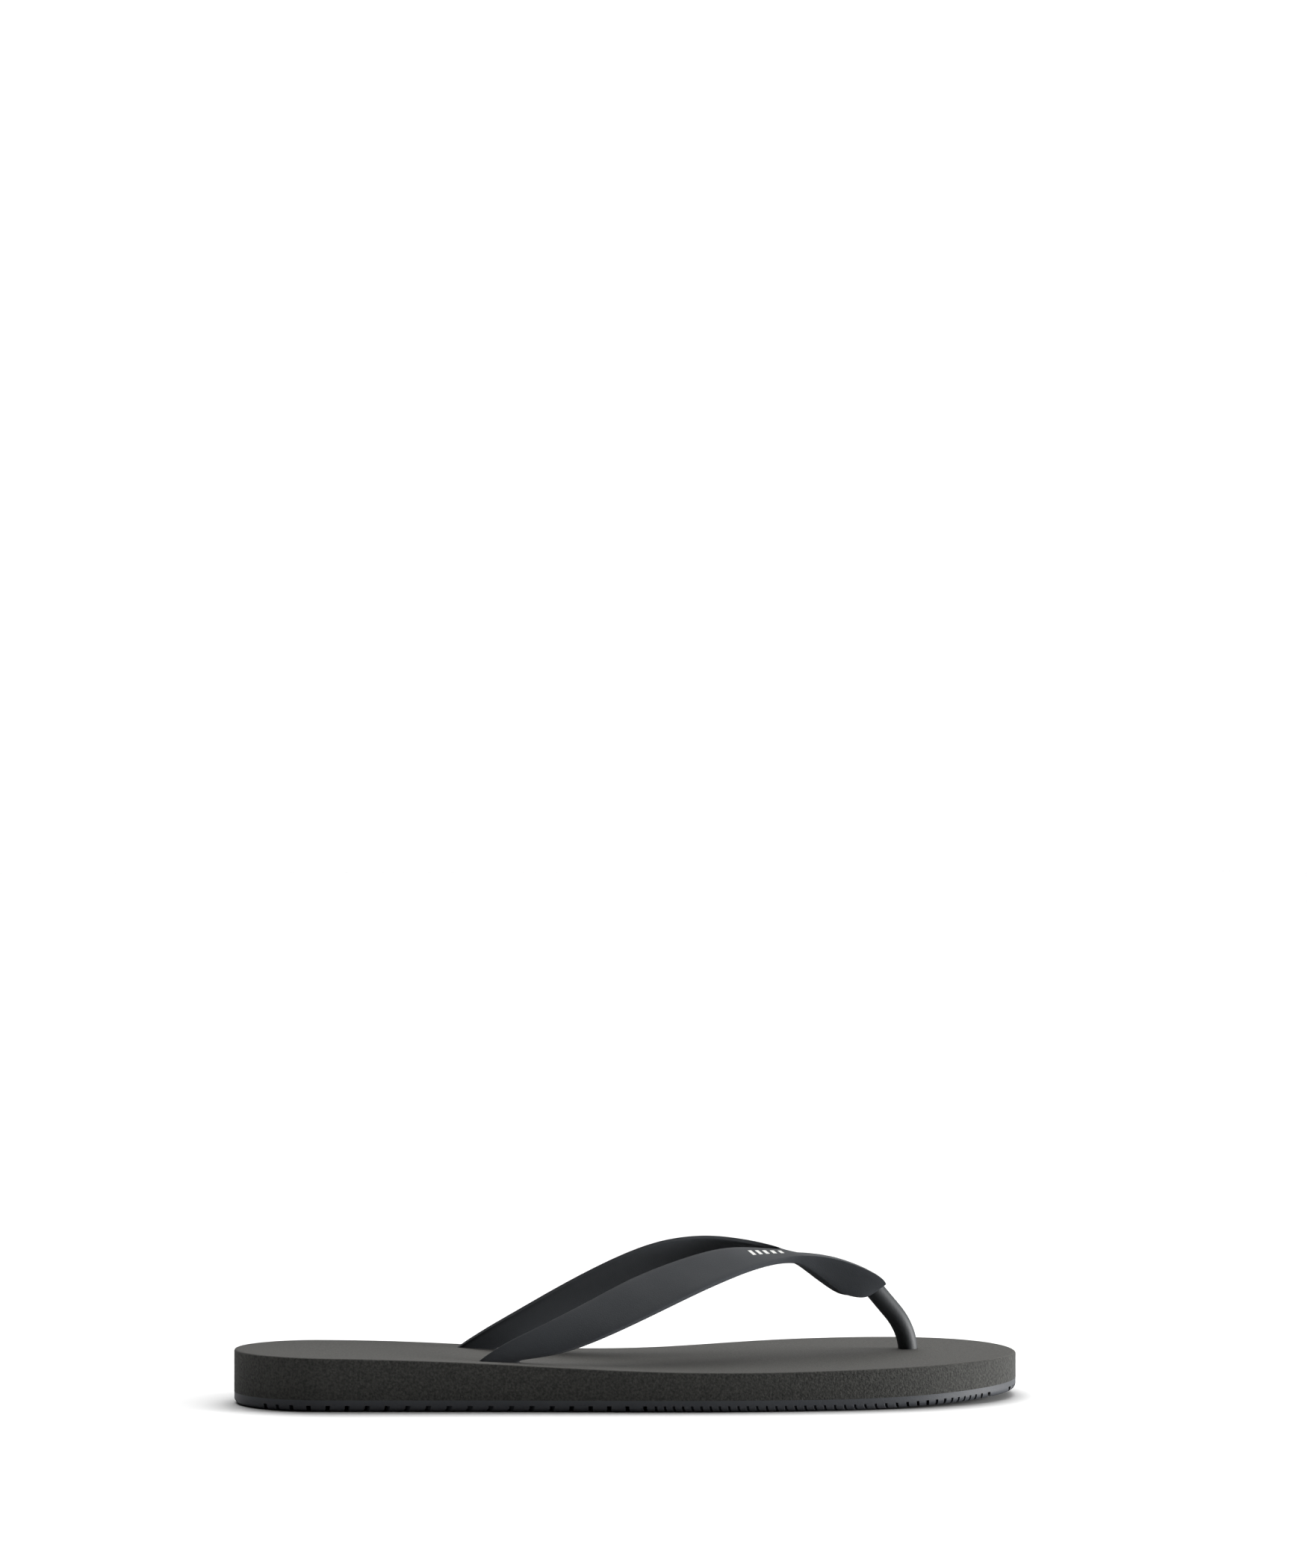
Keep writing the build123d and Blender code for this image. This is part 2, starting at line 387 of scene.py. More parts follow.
@dataclass(frozen=True)
class PaperFinish(Finish):
    """The studio's white paper floor, with a painted contact shadow round what stands on it; it is
    see-through from below so that the tread can be seen.
    """

    contact_shadow_reach: float = 22.0 * MM
    contact_shadow_dark: float = 0.22
    contact_shadow_samples: int = 4

    def dress(self, tree: bpy.types.NodeTree, shader: bpy.types.Node) -> None:
        """Paints a contact shadow by darkening the paper right beside what stands on it, and lets the
        underside be seen through.
        """
        # painted contact shadow: the paper's colour darkens where what stands on it hides it from its
        # surroundings
        reach = {"Distance": self.contact_shadow_reach}
        free = add_node(tree, "AmbientOcclusion", reach, samples=self.contact_shadow_samples).outputs["AO"]
        pale = linear(self.colour)
        dark = (*[self.contact_shadow_dark * part for part in pale[:3]], 1.0)
        paper = add_node(tree, "Mix", {"Factor": free, 6: dark, 7: pale}, data_type="RGBA")
        tree.links.new(paper.outputs[2], shader.inputs["Base Color"])
        clear = add_node(tree, "BsdfTransparent")
        behind = add_node(tree, "NewGeometry").outputs["Backfacing"]
        mix = add_node(tree, "MixShader", {0: behind, 1: shader.outputs[0], 2: clear.outputs[0]})
        tree.links.new(mix.outputs[0], tree.nodes["Material Output"].inputs["Surface"])


def coat(obj: bpy.types.Object, finish: Finish) -> None:
    """Gives a piece its one material."""
    obj.data.materials.clear()
    obj.data.materials.append(finish.make())


# ---------------------------------------------------------------- the sole


@dataclass
class SoleForm:
    """The sole's plan and heights, which the footbed and the outsole share."""

    footbed_nodes: tuple[str, str] = ("footbed_rear", "footbed_fore")
    outline_points: int = 360
    wall_reach: float = 0.1 * MM
    plug_reach: float = 9 * MM
    rim_share: float = 0.97
    rim_turn: float = 0.02
    ring_passes: int = 6
    rim_band: float = 0.5 * MM
    cut_through: float = 1.5
    post_hole_sides: int = 40
    outsole: float = 3.9 * MM
    spring_start: float = 62.0 * MM
    toe_spring: float = 2.5 * MM
    neck_long: float = 14.5 * MM
    neck_thick: float = 2.2 * MM
    post_diameter: float = 7.0 * MM
    clearance: float = 0.06 * MM
    recess_deep: float = 2.9 * MM
    post: Vector = field(default_factory=lambda: mm(102.8, 10.0, 0.0))
    slices: np.ndarray = field(default_factory=lambda: np.arange(-0.136, 0.139, 0.004))

    def __post_init__(self) -> None:
        """Reads the plan and the top surface from the CAD footbed."""
        nodes = [bpy.data.objects[name] for name in self.footbed_nodes]
        self.ring = self.outline(np.vstack([coordinates(node) for node in nodes]))
        top = np.vstack([corners_facing_up(node) for node in nodes])
        self.fit, *_ = np.linalg.lstsq(self.terms(top[:, 0], top[:, 1]), top[:, 2], rcond=None)
        error = np.abs(self.top(top[:, 0], top[:, 1]) - top[:, 2]).max()
        log.info("top surface follows the frame to %.2f mm", error / MM)

    def outline(self, corners: np.ndarray) -> np.ndarray:
        """The outline seen from above, anticlockwise, as evenly spaced points.

        Args:
            corners: the CAD footbed's vertices.

        Returns:
            Rows of X and Y.
        """
        underside = self.outsole + self.lift(corners[:, 0])
        low = corners[corners[:, 2] < underside + self.wall_reach][:, :2]
        for plug in PLUGS:
            middle = np.array(middle_of(plug))[:2]
            low = low[np.hypot(*(low - middle).T) > self.plug_reach]
        turn = np.arctan2(low[:, 1], low[:, 0])
        far = np.hypot(*low.T)
        apart = np.abs((turn[:, None] - turn[None, :] + np.pi) % (2 * np.pi) - np.pi)
        outermost = far > self.rim_share * np.where(apart < self.rim_turn, far[None, :], 0).max(1)
        edge = low[outermost][np.argsort(turn[outermost])]
        closed = np.vstack([edge, edge[:1]])
        along = np.append(0, np.cumsum(np.hypot(*np.diff(closed, axis=0).T)))
        even = np.linspace(0, along[-1], self.outline_points, endpoint=False)
        ring = np.column_stack([np.interp(even, along, closed[:, i]) for i in (0, 1)])
        for _ in range(self.ring_passes):
            ring = (np.roll(ring, 1, 0) + 2 * ring + np.roll(ring, -1, 0)) / 4
        return ring

    @staticmethod
    def terms(x: np.ndarray, y: np.ndarray) -> np.ndarray:
        """The terms of the surface that is fitted to the footbed's top: curved along X, ruled along Y."""
        u = x / HALF_LONG
        return np.column_stack([u**n for n in range(9)] + [y * u**n for n in range(8)])

    def top(self, x: np.ndarray, y: np.ndarray) -> np.ndarray:
        """The footbed's height above the ground."""
        return self.terms(x, y) @ self.fit

    def lift(self, x: np.ndarray) -> np.ndarray:
        """How far the toe spring raises the underside."""
        run = np.maximum(x - self.spring_start, 0) / (HALF_LONG - self.spring_start)
        return self.toe_spring * run**2

    def prism(self, name: str, height: float, shrink: float) -> bpy.types.Object:
        """A flat slab of the sole's plan, standing on Z = 0.

        Args:
            name: the piece's name.
            height: the slab's thickness.
            shrink: how far the slab stays inside the plan.

        Returns:
            The slab.
        """
        start_fresh()
        bpy.ops.mesh.primitive_circle_add(vertices=self.outline_points, radius=0.1, fill_type="NGON")
        slab = named(name)
        ahead = np.roll(self.ring, -1, 0) - np.roll(self.ring, 1, 0)
        inward = np.column_stack([-ahead[:, 1], ahead[:, 0]]) / np.hypot(*ahead.T)[:, None]
        flat = self.ring + inward * shrink
        place(slab, np.column_stack([flat, np.zeros(len(flat))]))
        edit(slab)
        bpy.ops.mesh.select_all(action="SELECT")
        bpy.ops.mesh.extrude_region_move(TRANSFORM_OT_translate={"value": (0, 0, height)})
        bpy.ops.mesh.select_all(action="SELECT")
        bpy.ops.mesh.normals_make_consistent(inside=False)
        bpy.ops.object.mode_set(mode="OBJECT")
        return slab

    def round_rim(self, slab: bpy.types.Object, height: float, radius: float, segments: int) -> None:
        """Rounds the slab's rim at one height, with a narrow flat band left on each side of the rounding.

        Args:
            slab: the slab.
            height: the height of the rim, which is the slab's top or its underside.
            radius: the rounding's radius.
            segments: how many flats the rounding has.
        """
        edit(slab, "EDGE")
        pick_edges(slab, lambda e: all(abs(v.co.z - height) < TOUCH for v in e.verts))
        bpy.ops.mesh.bevel(offset=radius, segments=segments, affect="EDGES")
        edit(slab, "FACE")
        pick_faces(
            slab, lambda f: len(f.verts) > CAP_SIDES and abs(f.calc_center_median().z - height) < TOUCH
        )
        bpy.ops.mesh.inset(thickness=self.rim_band)
        side = 1 if height > 0 else -1
        slice_at(slab, [height - side * (radius + self.rim_band)], (0, 0, 1))

    def holes(self, tall: float) -> list[bpy.types.Object]:
        """Cutters for the two neck slots and the post's hole.

        Args:
            tall: how far the cutters reach up.

        Returns:
            The cutters.
        """
        cutters = []
        for plug in NECK_PLUGS:
            middle = middle_of(plug)
            start_fresh()
            bpy.ops.mesh.primitive_cube_add(size=1, location=(middle.x, middle.y, tall / 2))
            bpy.context.object.scale = (
                self.neck_long + 2 * self.clearance,
                self.neck_thick + 2 * self.clearance,
                tall * self.cut_through,
            )
            cutters.append(named(plug + "_slot"))
        start_fresh()
        radius = self.post_diameter / 2 + self.clearance
        bpy.ops.mesh.primitive_cylinder_add(
            vertices=self.post_hole_sides,
            radius=radius,
            depth=tall * self.cut_through,
            location=(self.post.x, self.post.y, tall / 2),
        )
        cutters.append(named("post_hole"))
        return cutters


@dataclass
class Footbed:
    """The thick foam sole that the foot stands on."""

    form: SoleForm
    slab_height: float = 12.0 * MM
    rim_radius: float = 0.7 * MM
    rim_segments: int = 4
    # Faces whose normal's Z is over this get the top finish, painted paler as if lit from above.
    lit_top_facing: float = 0.75

    def build(self) -> bpy.types.Object:
        """Models the footbed flat, opens its holes and presses it to its heights."""
        form = self.form
        slab = form.prism("footbed", self.slab_height, 0.0)
        form.round_rim(slab, self.slab_height, self.rim_radius, self.rim_segments)
        cut_away(slab, form.holes(self.slab_height))
        slice_at(slab, form.slices, (1, 0, 0))
        points = coordinates(slab)
        x, y, z = points.T
        base = form.outsole + form.lift(x)
        high = z > self.slab_height / 2
        points[:, 2] = np.where(high, form.top(x, y) - (self.slab_height - z), base + z)
        place(slab, points)
        smooth(slab)
        return slab

    def skin(self, slab: bpy.types.Object, finish: Finish) -> None:
        """Gives the faces that the foot stands on, which face upwards, their own finish: a finer skin
        grain, and a paler copy of the foam's colour that is painted light from above.
        """
        slab.data.materials.append(finish.make())
        for face in slab.data.polygons:
            face.material_index = int(face.normal.z > self.lit_top_facing)


@dataclass
class Outsole:
    """The rubber layer under the footbed, with wavy grooves across its tread."""

    form: SoleForm
    shrink: float = 0.05 * MM
    rim_radius: float = 1.8 * MM
    rim_segments: int = 6
    groove_deep: float = 2.0 * MM
    coarse: tuple[float, ...] = (-145.0, -2.0, 6.5, 1.6)
    fine: tuple[float, ...] = (2.0, 146.0, 3.4, 1.0)
    wave_long: float = 26.0 * MM
    wave_high: float = 3.2 * MM
    wave_steps: int = 64
    bar_long: float = 116.0 * MM
    recess_sides: int = 64
    recess_gap: float = 0.4 * MM

    def groove_cutters(self, first: float, last: float, pitch: float, wide: float) -> bpy.types.Object:
        """One wavy bar across the tread, copied along a stretch of it.

        Args:
            first: where the stretch starts, in millimetres.
            last: where it ends.
            pitch: the distance from one bar to the next.
            wide: a bar's width.

        Returns:
            The bars as one object.
        """
        start_fresh()
        bpy.ops.mesh.primitive_grid_add(x_subdivisions=1, y_subdivisions=self.wave_steps, size=1)
        bars = named("groove_cutters")
        points = coordinates(bars)
        points[:, 1] *= self.bar_long
        wave = self.wave_high * np.sin(2 * math.pi * points[:, 1] / self.wave_long)
        points[:, 0] = points[:, 0] * wide * MM + wave + first * MM
        points[:, 2] = -self.groove_deep
        place(bars, points)
        apply_modifier(bars, "SOLIDIFY", thickness=2 * self.groove_deep, offset=1.0)
        apply_modifier(
            bars,
            "ARRAY",
            count=1 + int((last - first) / pitch),
            use_relative_offset=False,
            use_constant_offset=True,
            constant_offset_displace=(pitch * MM, 0, 0),
        )
        return bars

    def recesses(self) -> list[bpy.types.Object]:
        """Cutters for the three round plug recesses in the underside."""
        cutters = []
        for plug in PLUGS:
            low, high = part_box(plug)
            start_fresh()
            bpy.ops.mesh.primitive_cylinder_add(
                vertices=self.recess_sides,
                radius=(high.x - low.x) / 2 + self.recess_gap,
                depth=2 * self.form.recess_deep,
                location=((low.x + high.x) / 2, (low.y + high.y) / 2, 0),
            )
            cutters.append(named(plug + "_recess"))
        return cutters

    def build(self) -> bpy.types.Object:
        """Models the outsole flat, cuts its tread and holes, and lifts its toe."""
        form = self.form
        slab = form.prism("outsole", form.outsole, self.shrink)
        form.round_rim(slab, 0.0, self.rim_radius, self.rim_segments)
        grooves = [self.groove_cutters(*self.coarse), self.groove_cutters(*self.fine)]
        cut_away(slab, [*grooves, *self.recesses(), *form.holes(form.outsole)])
        slice_at(slab, form.slices, (1, 0, 0))
        points = coordinates(slab)
        points[:, 2] += form.lift(points[:, 0])
        place(slab, points)
        smooth(slab)
        return slab


# ---------------------------------------------------------------- the strap


@dataclass
class Strap:
    """The rubber strap: two flat bands that rise out of the sole and meet in a nose over the toe post.

    Each band is a list of its upper face's two edges, right and left as the band runs forwards, in
    millimetres. Each nose row is its top's X and Z, its bottom's X and Z, its width, and how much
    lower its left wall hangs than its right one.
    """

    form: SoleForm
    thick: float = 1.9
    neck_heights: tuple[float, ...] = (1.7, 9.0, 15.2, 17.0)
    lateral: tuple = (
        ((-31.5, -33.0, 18.7), (-46.6, -30.8, 22.9)),
        ((-21.6, -32.6, 21.4), (-34.6, -28.0, 28.2)),
        ((-8.0, -31.0, 26.9), (-18.0, -21.0, 35.5)),
        ((8.5, -25.8, 33.9), (-0.5, -11.4, 43.2)),
        ((25.0, -18.6, 40.7), (17.2, -2.2, 48.8)),
        ((42.0, -8.9, 46.3), (35.0, 5.8, 52.6)),
        ((54.0, -1.2, 48.7), (50.3, 11.4, 51.8)),
    )
    medial: tuple = (
        ((-49.5, 14.8, 23.8), (-34.5, 19.5, 19.4)),
        ((-36.3, 13.2, 31.5), (-24.0, 22.8, 23.2)),
        ((-20.1, 13.4, 40.5), (-12.0, 25.6, 29.0)),
        ((-1.0, 15.4, 49.5), (4.5, 28.6, 37.0)),
        ((15.5, 17.2, 54.8), (20.5, 29.6, 43.6)),
        ((33.0, 18.6, 56.1), (37.0, 28.2, 47.0)),
        ((50.0, 16.4, 53.6), (51.5, 23.6, 48.8)),
    )
    crotch: tuple[float, ...] = (60.0, 12.2, 50.9)
    crotch_right: tuple[float, ...] = (61.0, 2.2, 49.4)
    crotch_left: tuple[float, ...] = (61.0, 18.4, 49.4)
    nose_y: float = 10.2
    nose: tuple = (
        ((94.3, 38.6), (88.2, 34.5), 8.6, 0.0),
        ((93.2, 40.6), (86.2, 33.9), 9.8, 0.0),
        ((88.3, 43.8), (83.8, 33.7), 10.8, 0.2),
        ((81.0, 46.7), (78.4, 34.8), 11.2, 1.0),
        ((75.0, 48.4), (73.6, 38.9), 11.6, 1.8),
        ((69.5, 49.2), (68.6, 42.6), 12.4, 1.8),
        ((65.0, 49.6), (64.6, 45.4), 14.0, 1.2),
    )
    crotch_thick: tuple = ((0.6, -0.4, 2.4), (0.0, 0.0, 2.2), (0.6, 0.4, 2.8))
    channel: float = 2.0
    band_crease: float = 0.9
    nose_crease: float = 0.8
    tip_crease: float = 0.8
    neck_crease: float = 1.0
    subdivisions: int = 3
    unprinted: float = 30.0

    def corners(self, edges: np.ndarray) -> np.ndarray:
        """The four corners of each of a band's sections.

        Args:
            edges: for each section, the upper face's right and left edge.

        Returns:
            Sections by four corners (upper right, upper left, lower right, lower left) by X, Y, Z.
        """
        right, left = edges[:, 0], edges[:, 1]
        ahead = np.gradient((right + left) / 2, axis=0)
        up = np.cross(ahead, left - right)
        up /= np.linalg.norm(up, axis=1)[:, None]
        return np.stack([right, left, right - up * self.thick, left - up * self.thick], axis=1)

    def band(self, edges: tuple, plug: str, outward: int) -> np.ndarray:
        """A band's sections from the bottom of its neck to its last station before the nose.

        Args:
            edges: the band's list of edges.
            plug: the plug that holds the band's neck.
            outward: 1 where the neck's outer face looks along +Y, -1 along -Y.

        Returns:
            Its sections' corners.
        """
        middle = middle_of(plug) / MM
        half = self.form.neck_long / MM / 2
        y = middle.y + outward * self.thick / 2
        right, left = middle.x - outward * half, middle.x + outward * half
        necks = [((right, y, z), (left, y, z)) for z in self.neck_heights]
        rows = np.array([*necks, *edges]).reshape(-1, 6)
        return self.corners(through(rows, 2).reshape(-1, 2, 3))

    def nose_rings(self) -> np.ndarray:
        """The nose's rings of six corners from its tip back to where the bands part."""
        rings = []
        for (top_x, top), (bottom_x, bottom), width, droop in self.nose:
            side = width / 2
            upper = [(top_x, self.nose_y + y, top) for y in (-side, 0, side)]
            heights = (bottom, bottom + self.channel * (droop > 0), bottom - droop)
            lower = [(bottom_x, self.nose_y + y, z) for y, z in zip((-side, 0, side), heights)]
            rings.append(upper + lower)
        upper = np.array([self.crotch_right, self.crotch, self.crotch_left])
        lower = upper - np.array(self.crotch_thick)
        rings.append([*upper, *lower])
        return np.array(rings)

    def cage(self, nose_rings: int, band_rings: int) -> bpy.types.Object:
        """The strap's straight cage: a bar two faces wide, whose halves part and go on as two bars.

        Args:
            nose_rings: how many rings of corners the nose has.
            band_rings: how many each band has after it.

        Returns:
            The cage, with each ring at its own whole height.
        """
        start_fresh()
        bpy.ops.mesh.primitive_grid_add(x_subdivisions=2, y_subdivisions=1, size=2)
        cage = named("moulded_strap")
        edit(cage)
        bpy.ops.mesh.select_all(action="SELECT")
        for _ in range(nose_rings - 1):
            bpy.ops.mesh.extrude_region_move(TRANSFORM_OT_translate={"value": (0, 0, 1)})
        end = nose_rings - 1
        for side in (-1, 1):
            pick_faces(
                cage,
                lambda f: f.calc_center_median().z > end - SLACK and f.calc_center_median().x * side > 0,
            )
            bpy.ops.mesh.extrude_region_move(TRANSFORM_OT_translate={"value": (2 * side, 0, 1)})
            for _ in range(band_rings - 1):
                bpy.ops.mesh.extrude_region_move(TRANSFORM_OT_translate={"value": (0, 0, 1)})
        bpy.ops.object.mode_set(mode="OBJECT")
        return cage

    def crease(self, cage: bpy.types.Object, last: float) -> None:
        """Sharpens the cage's long edges, its tip and the ends of its necks.

        Args:
            cage: the cage.
            last: the height of its last ring.
        """
        edit(cage, "EDGE")
        for inside, value in ((False, self.band_crease), (True, self.nose_crease)):
            pick_edges(
                cage,
                lambda e: abs(e.verts[0].co.z - e.verts[1].co.z) > SLACK
                and inside == (max(abs(v.co.x) for v in e.verts) < 1 + SLACK)
                and not all(abs(v.co.x) < SLACK for v in e.verts),
            )
            bpy.ops.transform.edge_crease(value=value)
        pick_edges(
            cage,
            lambda e: all(v.co.z < SLACK for v in e.verts)
            and not all(abs(v.co.x) < SLACK for v in e.verts),
        )
        bpy.ops.transform.edge_crease(value=self.tip_crease)
        pick_edges(cage, lambda e: all(v.co.z > last - SLACK for v in e.verts))
        bpy.ops.transform.edge_crease(value=self.neck_crease)
        bpy.ops.object.mode_set(mode="OBJECT")

    def map_faces(self, cage: bpy.types.Object) -> None:
        """Maps the faces along and across the strap: the outer band's upper face is 0 to 1 across.

        The other faces are moved far to one side in the map, where nothing is printed.
        """
        layer = cage.data.uv_layers.new(name="strap_map")
        for face in cage.data.polygons:
            upper = face.normal.y > 0.5 and face.center.x < -1.2
            for loop in face.loop_indices:
                spot = cage.data.vertices[cage.data.loops[loop].vertex_index].co
                across = spot.x + (3 if spot.x < -1.5 else 1)
                layer.data[loop].uv = (spot.z, across if upper else across + self.unprinted)

    def build(self) -> bpy.types.Object:
        """Extrudes the cage, moves its rings to their places and smooths it."""
        nose = self.nose_rings()
        bands = {
            -1: self.band(self.lateral, "lateral_plug", -1)[::-1],
            1: self.band(self.medial, "medial_plug", 1)[::-1],
        }
        count = len(nose)
        cage = self.cage(count, len(bands[1]))
        self.map_faces(cage)
        self.crease(cage, count + len(bands[1]) - 1)
        points = coordinates(cage)
        for i, (x, y, z) in enumerate(points.round().astype(int)):
            lower = y < 0
            if abs(x) <= 1 and z < count:
                points[i] = nose[z][x + 1 + 3 * lower]
            else:
                left = x in (-2, 3)
                points[i] = bands[-1 if x < 0 else 1][z - count][left + 2 * lower]
        place(cage, points * MM)
        apply_modifier(cage, "SUBSURF", levels=self.subdivisions)
        smooth(cage, angle=60.0)
        return cage


@dataclass
class ToePost:
    """The round post between the toes, upright in the sole and bent back into the nose."""

    form: SoleForm
    foot: float = 1.7 * MM
    bend_height: float = 13.0 * MM
    bend_radius: float = 24.0 * MM
    lean: float = math.radians(40.0)
    run: float = 11.0 * MM
    sides: int = 48
    upright_steps: int = 4
    bend_steps: int = 14

    def build(self) -> bpy.types.Object:
        """Extrudes a disc upwards, spins it through the bend and runs it on into the nose."""
        start_fresh()
        spot = self.form.post
        bpy.ops.mesh.primitive_circle_add(
            vertices=self.sides,
            radius=self.form.post_diameter / 2,
            fill_type="NGON",
            location=(spot.x, spot.y, self.foot),
        )
        bpy.ops.object.transform_apply(location=True, rotation=True, scale=True)
        post = named("moulded_toe_post")
        edit(post)
        bpy.ops.mesh.select_all(action="SELECT")
        rise = (self.bend_height - self.foot) / self.upright_steps
        for _ in range(self.upright_steps):
            bpy.ops.mesh.extrude_region_move(TRANSFORM_OT_translate={"value": (0, 0, rise)})
        centre = (spot.x - self.bend_radius, spot.y, self.bend_height)
        bpy.ops.mesh.spin(steps=self.bend_steps, angle=self.lean, center=centre, axis=(0, 1, 0))
        along = Vector((-math.sin(self.lean), 0, math.cos(self.lean))) * self.run
        bpy.ops.mesh.extrude_region_move(TRANSFORM_OT_translate={"value": along})
        bpy.ops.object.mode_set(mode="OBJECT")
        smooth(post)
        return post


@dataclass
class Plug:
    """A round rubber button under the sole, with a shallow ring sunk into its face."""

    node: str
    sides: int = 64
    round_edge: float = 0.7 * MM
    edge_segments: int = 5
    ring_gap: float = 2.2 * MM
    ring_wide: float = 1.1 * MM
    ring_deep: float = 0.35 * MM
    ring_slope: float = 0.15 * MM

    def build(self) -> bpy.types.Object:
        """Rounds a disc's edge and sinks a ring into its lower face."""
        low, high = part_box(self.node)
        start_fresh()
        radius = (high.x - low.x) / 2
        bpy.ops.mesh.primitive_cylinder_add(
            vertices=self.sides, radius=radius, depth=high.z - low.z, location=(low + high) / 2
        )
        bpy.ops.object.transform_apply(location=True, rotation=True, scale=True)
        plug = named(self.node + "_button")
        edit(plug, "EDGE")
        pick_edges(plug, lambda e: all(v.co.z < low.z + TOUCH for v in e.verts))
        bpy.ops.mesh.bevel(offset=self.round_edge, segments=self.edge_segments, affect="EDGES")
        edit(plug, "FACE")
        pick_faces(plug, lambda f: len(f.verts) > CAP_SIDES and f.calc_center_median().z < low.z + TOUCH)
        bpy.ops.mesh.inset(thickness=self.ring_gap)
        bpy.ops.mesh.inset(thickness=self.ring_slope, depth=-self.ring_deep)
        bpy.ops.mesh.inset(thickness=self.ring_wide)
        bpy.ops.mesh.inset(thickness=self.ring_slope, depth=self.ring_deep)
        bpy.ops.object.mode_set(mode="OBJECT")
        smooth(plug)
        return plug


# ---------------------------------------------------------------- studio


@dataclass(frozen=True)
class Studio:
    """The white floor, the soft lights and the camera."""

    camera_place: Point = (-0.2366, -2.0021, 0.2183)
    camera_turn: float = -7.0
    lens: float = 130.0
    sensor: float = 36.0
    sight: float = 100.0
    floor_half: float = 12.0
    floor_gap: float = 0.2 * MM
    floor_colour: str = "#fafafa"
    floor_roughness: float = 0.9
    back_strength: float = 1.6
    back_spread: float = 60.0
    back_tilt: Point = (-30.0, 0.0, 0.0)
    card_power: float = 82.0
    card_place: Point = (1.75, -0.26, 0.19)
    card_size: float = 0.8
    dome_strength: float = 2.8
    dome_middle: Point = (0.08, 0.5, 0.86)
    dome_edge: float = 0.74
    sky: float = 0.06
    seen: float = 1.1

    def lamp(self, name: str, strength: float, spread: float, tilt: Point) -> None:
        """Adds a very broad sun, which lights like a large soft box.

        Args:
            name: the lamp's name.
            strength: its strength.
            spread: its angular width in degrees.
            tilt: its rotation in degrees.
        """
        bpy.ops.object.light_add(type="SUN", rotation=[math.radians(t) for t in tilt])
        lamp = bpy.context.object
        lamp.name = name
        lamp.data.energy = strength
        lamp.data.angle = math.radians(spread)

    def build(self) -> None:
        """Sets up floor, lights, surroundings and camera."""
        self.floor()
        self.lamp("back_soft_box", self.back_strength, self.back_spread, self.back_tilt)
        self.card()
        self.surroundings()
        self.camera()
        bpy.context.scene.view_settings.view_transform = "Standard"

    def floor(self) -> None:
        """Lays the paper a hair under the tread."""
        start_fresh()
        bpy.ops.mesh.primitive_plane_add(size=2 * self.floor_half, location=(0, 0, -self.floor_gap))
        floor = named("floor")
        paper = PaperFinish("floor_white_paper", self.floor_colour, self.floor_roughness)
        floor.data.materials.append(paper.make())

    def card(self) -> None:
        """Stands a bright card off the toe, turned to the middle of the sole."""
        bpy.ops.object.light_add(type="AREA", location=self.card_place)
        card = bpy.context.object
        card.name = "toe_side_card"
        card.data.energy = self.card_power
        card.data.size = self.card_size
        card.rotation_euler = (-Vector(self.card_place)).to_track_quat("-Z", "Y").to_euler()
        card.visible_camera = False

    def camera(self) -> None:
        """Adds the camera, level and looking a little from behind the middle."""
        bpy.ops.object.camera_add(
            location=self.camera_place, rotation=(math.radians(90), 0, math.radians(self.camera_turn))
        )
        camera = bpy.context.object
        camera.data.lens = self.lens
        camera.data.sensor_width = self.sensor
        camera.data.clip_end = self.sight
        bpy.context.scene.camera = camera

    def surroundings(self) -> None:
        """A white room that is seen as white, and lights most from above and behind."""
        world = bpy.data.worlds.new("studio_surroundings")
        bpy.context.scene.world = world
        world.use_nodes = True
        tree = world.node_tree
        direction = add_node(tree, "TexCoord").outputs["Generated"]
        middle = Vector(self.dome_middle).normalized()
        towards = add_node(tree, "VectorMath", {0: direction, 1: middle}, operation="DOT_PRODUCT")
        ramp = {"Value": towards.outputs["Value"], "From Min": self.dome_edge}
        ramp |= {"To Min": self.sky, "To Max": self.dome_strength}
        strength = add_node(tree, "MapRange", ramp)
        lit = tree.nodes["Background"]
        lit.inputs["Color"].default_value = (1, 1, 1, 1)
        tree.links.new(strength.outputs[0], lit.inputs["Strength"])
        seen = add_node(tree, "Background", {"Color": (1, 1, 1, 1), "Strength": self.seen})
        is_seen = add_node(tree, "LightPath").outputs["Is Camera Ray"]
        mix = add_node(tree, "MixShader", {0: is_seen, 1: lit.outputs[0], 2: seen.outputs[0]})
        tree.links.new(mix.outputs[0], tree.nodes["World Output"].inputs["Surface"])


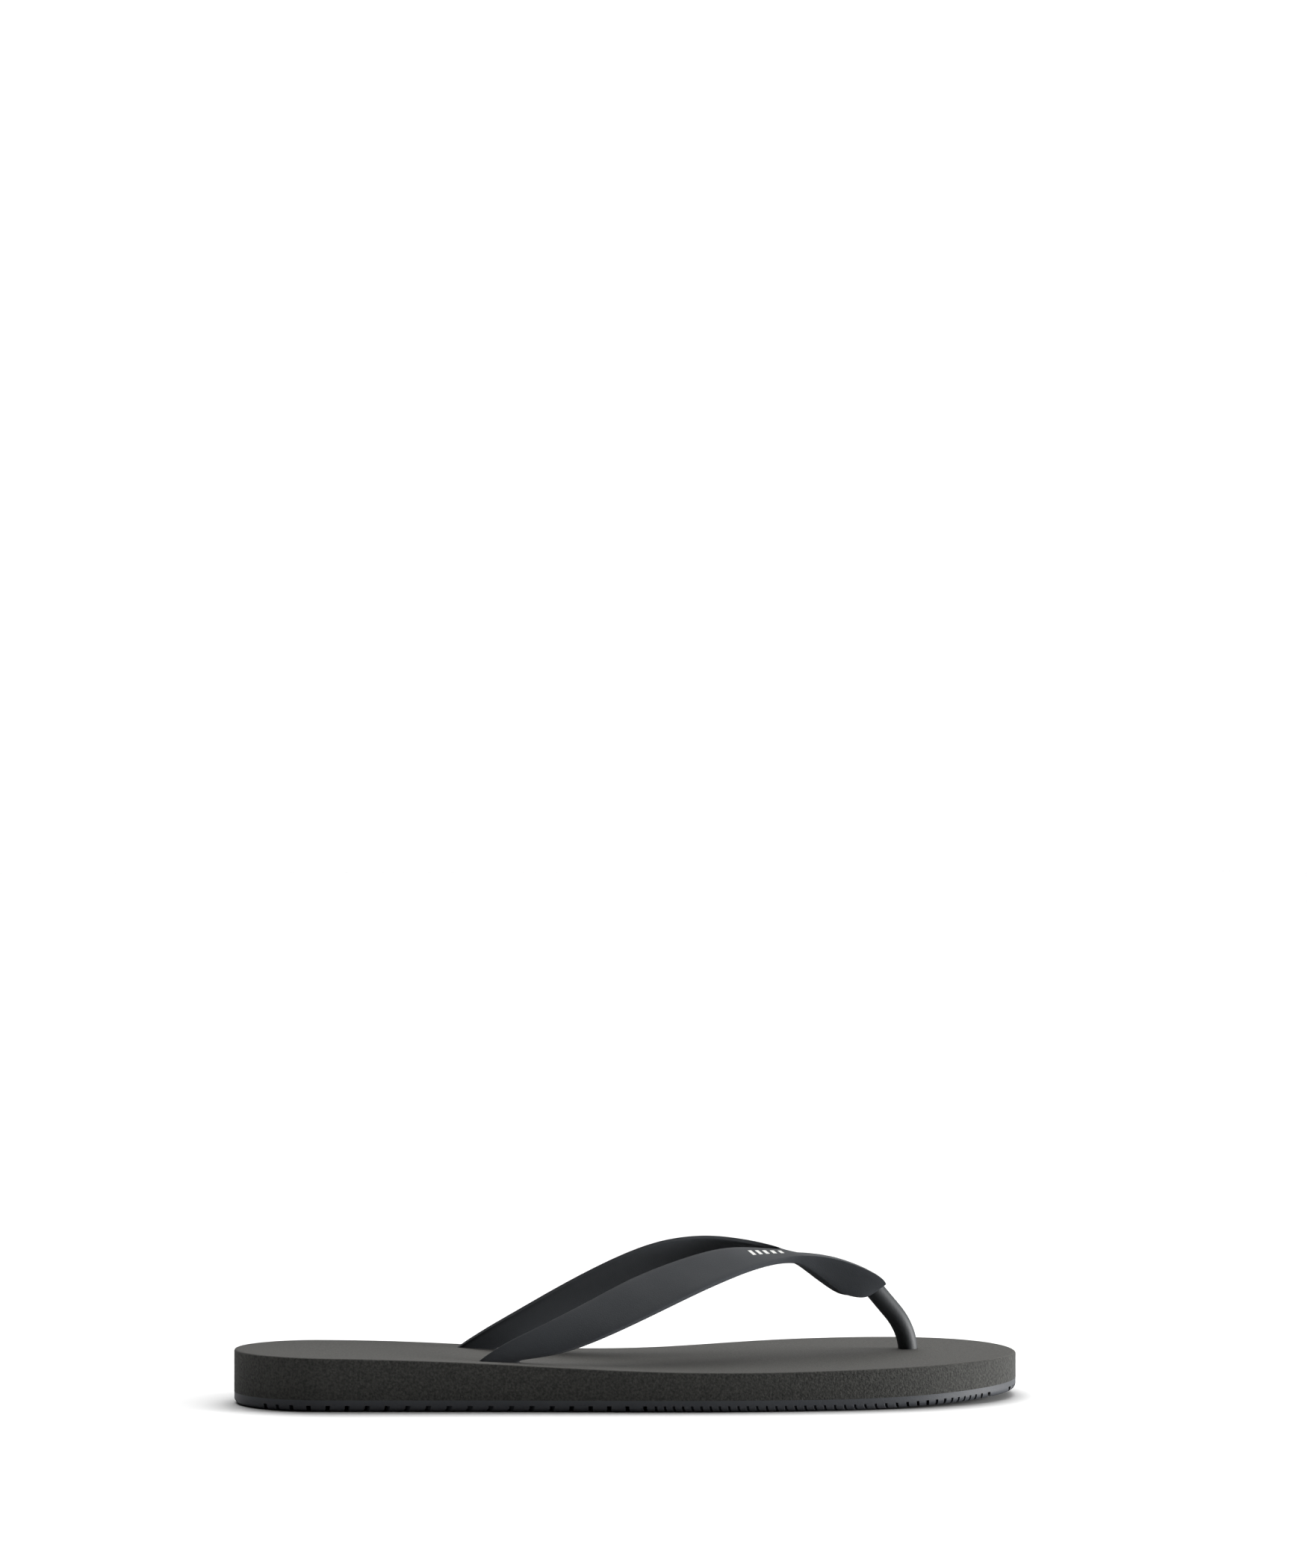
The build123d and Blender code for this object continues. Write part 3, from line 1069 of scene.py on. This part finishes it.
@dataclass(frozen=True)
class BallBend:
    """How far the soft pieces take to bend round the ball of the foot, in millimetres.

    Each reach says how far behind the bend line a piece starts to bend, and how far in front of
    the line it is wholly with the front body.
    """

    middle: Vector = field(default_factory=lambda: mm(49.5, 0, 15.6))
    forwards: Vector = field(default_factory=lambda: Vector((0.932207, -0.361927, 0)))
    sole_reach: tuple[float, float] = (34.0, 34.0)
    strap_reach: tuple[float, float] = (60.0, 18.0)

    def across(self, obj: bpy.types.Object, reach: tuple[float, float]) -> None:
        """Bakes a piece's placement into its mesh; the piece is not bent.

        Args:
            obj: the piece.
            reach: how far behind and in front of the bend line it would bend; not used.
        """
        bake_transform(obj)


# One foam in two finishes: the wall's darker colour is painted shade and the top's paler colour is
# painted light; only the coarser wall grain and the finer top grain are real.
WALL_FOAM_SHADED = FoamFinish("footbed_wall_coarse_foam_painted_shade", "#1b1b19", 0.9, speck_colour="#343431", grain=0.7 * MM)
SKIN_FOAM_LIT = FoamFinish(
    "footbed_top_fine_skin_painted_light", "#2b2a27", 0.9, speck_colour="#3d3c38", grain=0.5 * MM, depth=0.06 * MM
)
TREAD = RubberFinish("outsole_carbon_rubber", "#2b2e33", 0.62)
STRAP_RUBBER = PrintedRubberFinish("strap_matt_rubber", "#282b2f", 0.92)
POST_RUBBER = RubberFinish("post_satin_rubber", "#202326", 0.6)
PLUG_RUBBER = RubberFinish("plug_rubber", "#2c2e31", 0.5)


def main() -> None:
    """Builds the flip flop piece by piece, then its studio."""
    logging.basicConfig(level=logging.INFO, format="%(message)s")
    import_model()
    form = SoleForm()
    bend = BallBend()
    foam = Footbed(form)
    footbed = foam.build()
    coat(footbed, WALL_FOAM_SHADED)
    foam.skin(footbed, SKIN_FOAM_LIT)
    bend.across(footbed, bend.sole_reach)
    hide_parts("footbed_rear", "footbed_fore")
    outsole = Outsole(form).build()
    coat(outsole, TREAD)
    bend.across(outsole, bend.sole_reach)
    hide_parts("outsole_rear", "outsole_fore")
    strap = Strap(form).build()
    coat(strap, STRAP_RUBBER)
    bend.across(strap, bend.strap_reach)
    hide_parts("strap")
    post = ToePost(form).build()
    coat(post, POST_RUBBER)
    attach(post, Body.FORE.value)
    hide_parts("toe_post")
    pieces = [footbed, outsole, strap, post]
    for node, home in zip(PLUGS, (Body.REAR, Body.REAR, Body.FORE)):
        plug = Plug(node).build()
        coat(plug, PLUG_RUBBER)
        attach(plug, home.value)
        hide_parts(node)
        pieces.append(plug)
    Studio().build()
    for piece in pieces:
        log.info("%s: %d faces", piece.name, len(piece.data.polygons))


if __name__ == "__main__":
    main()
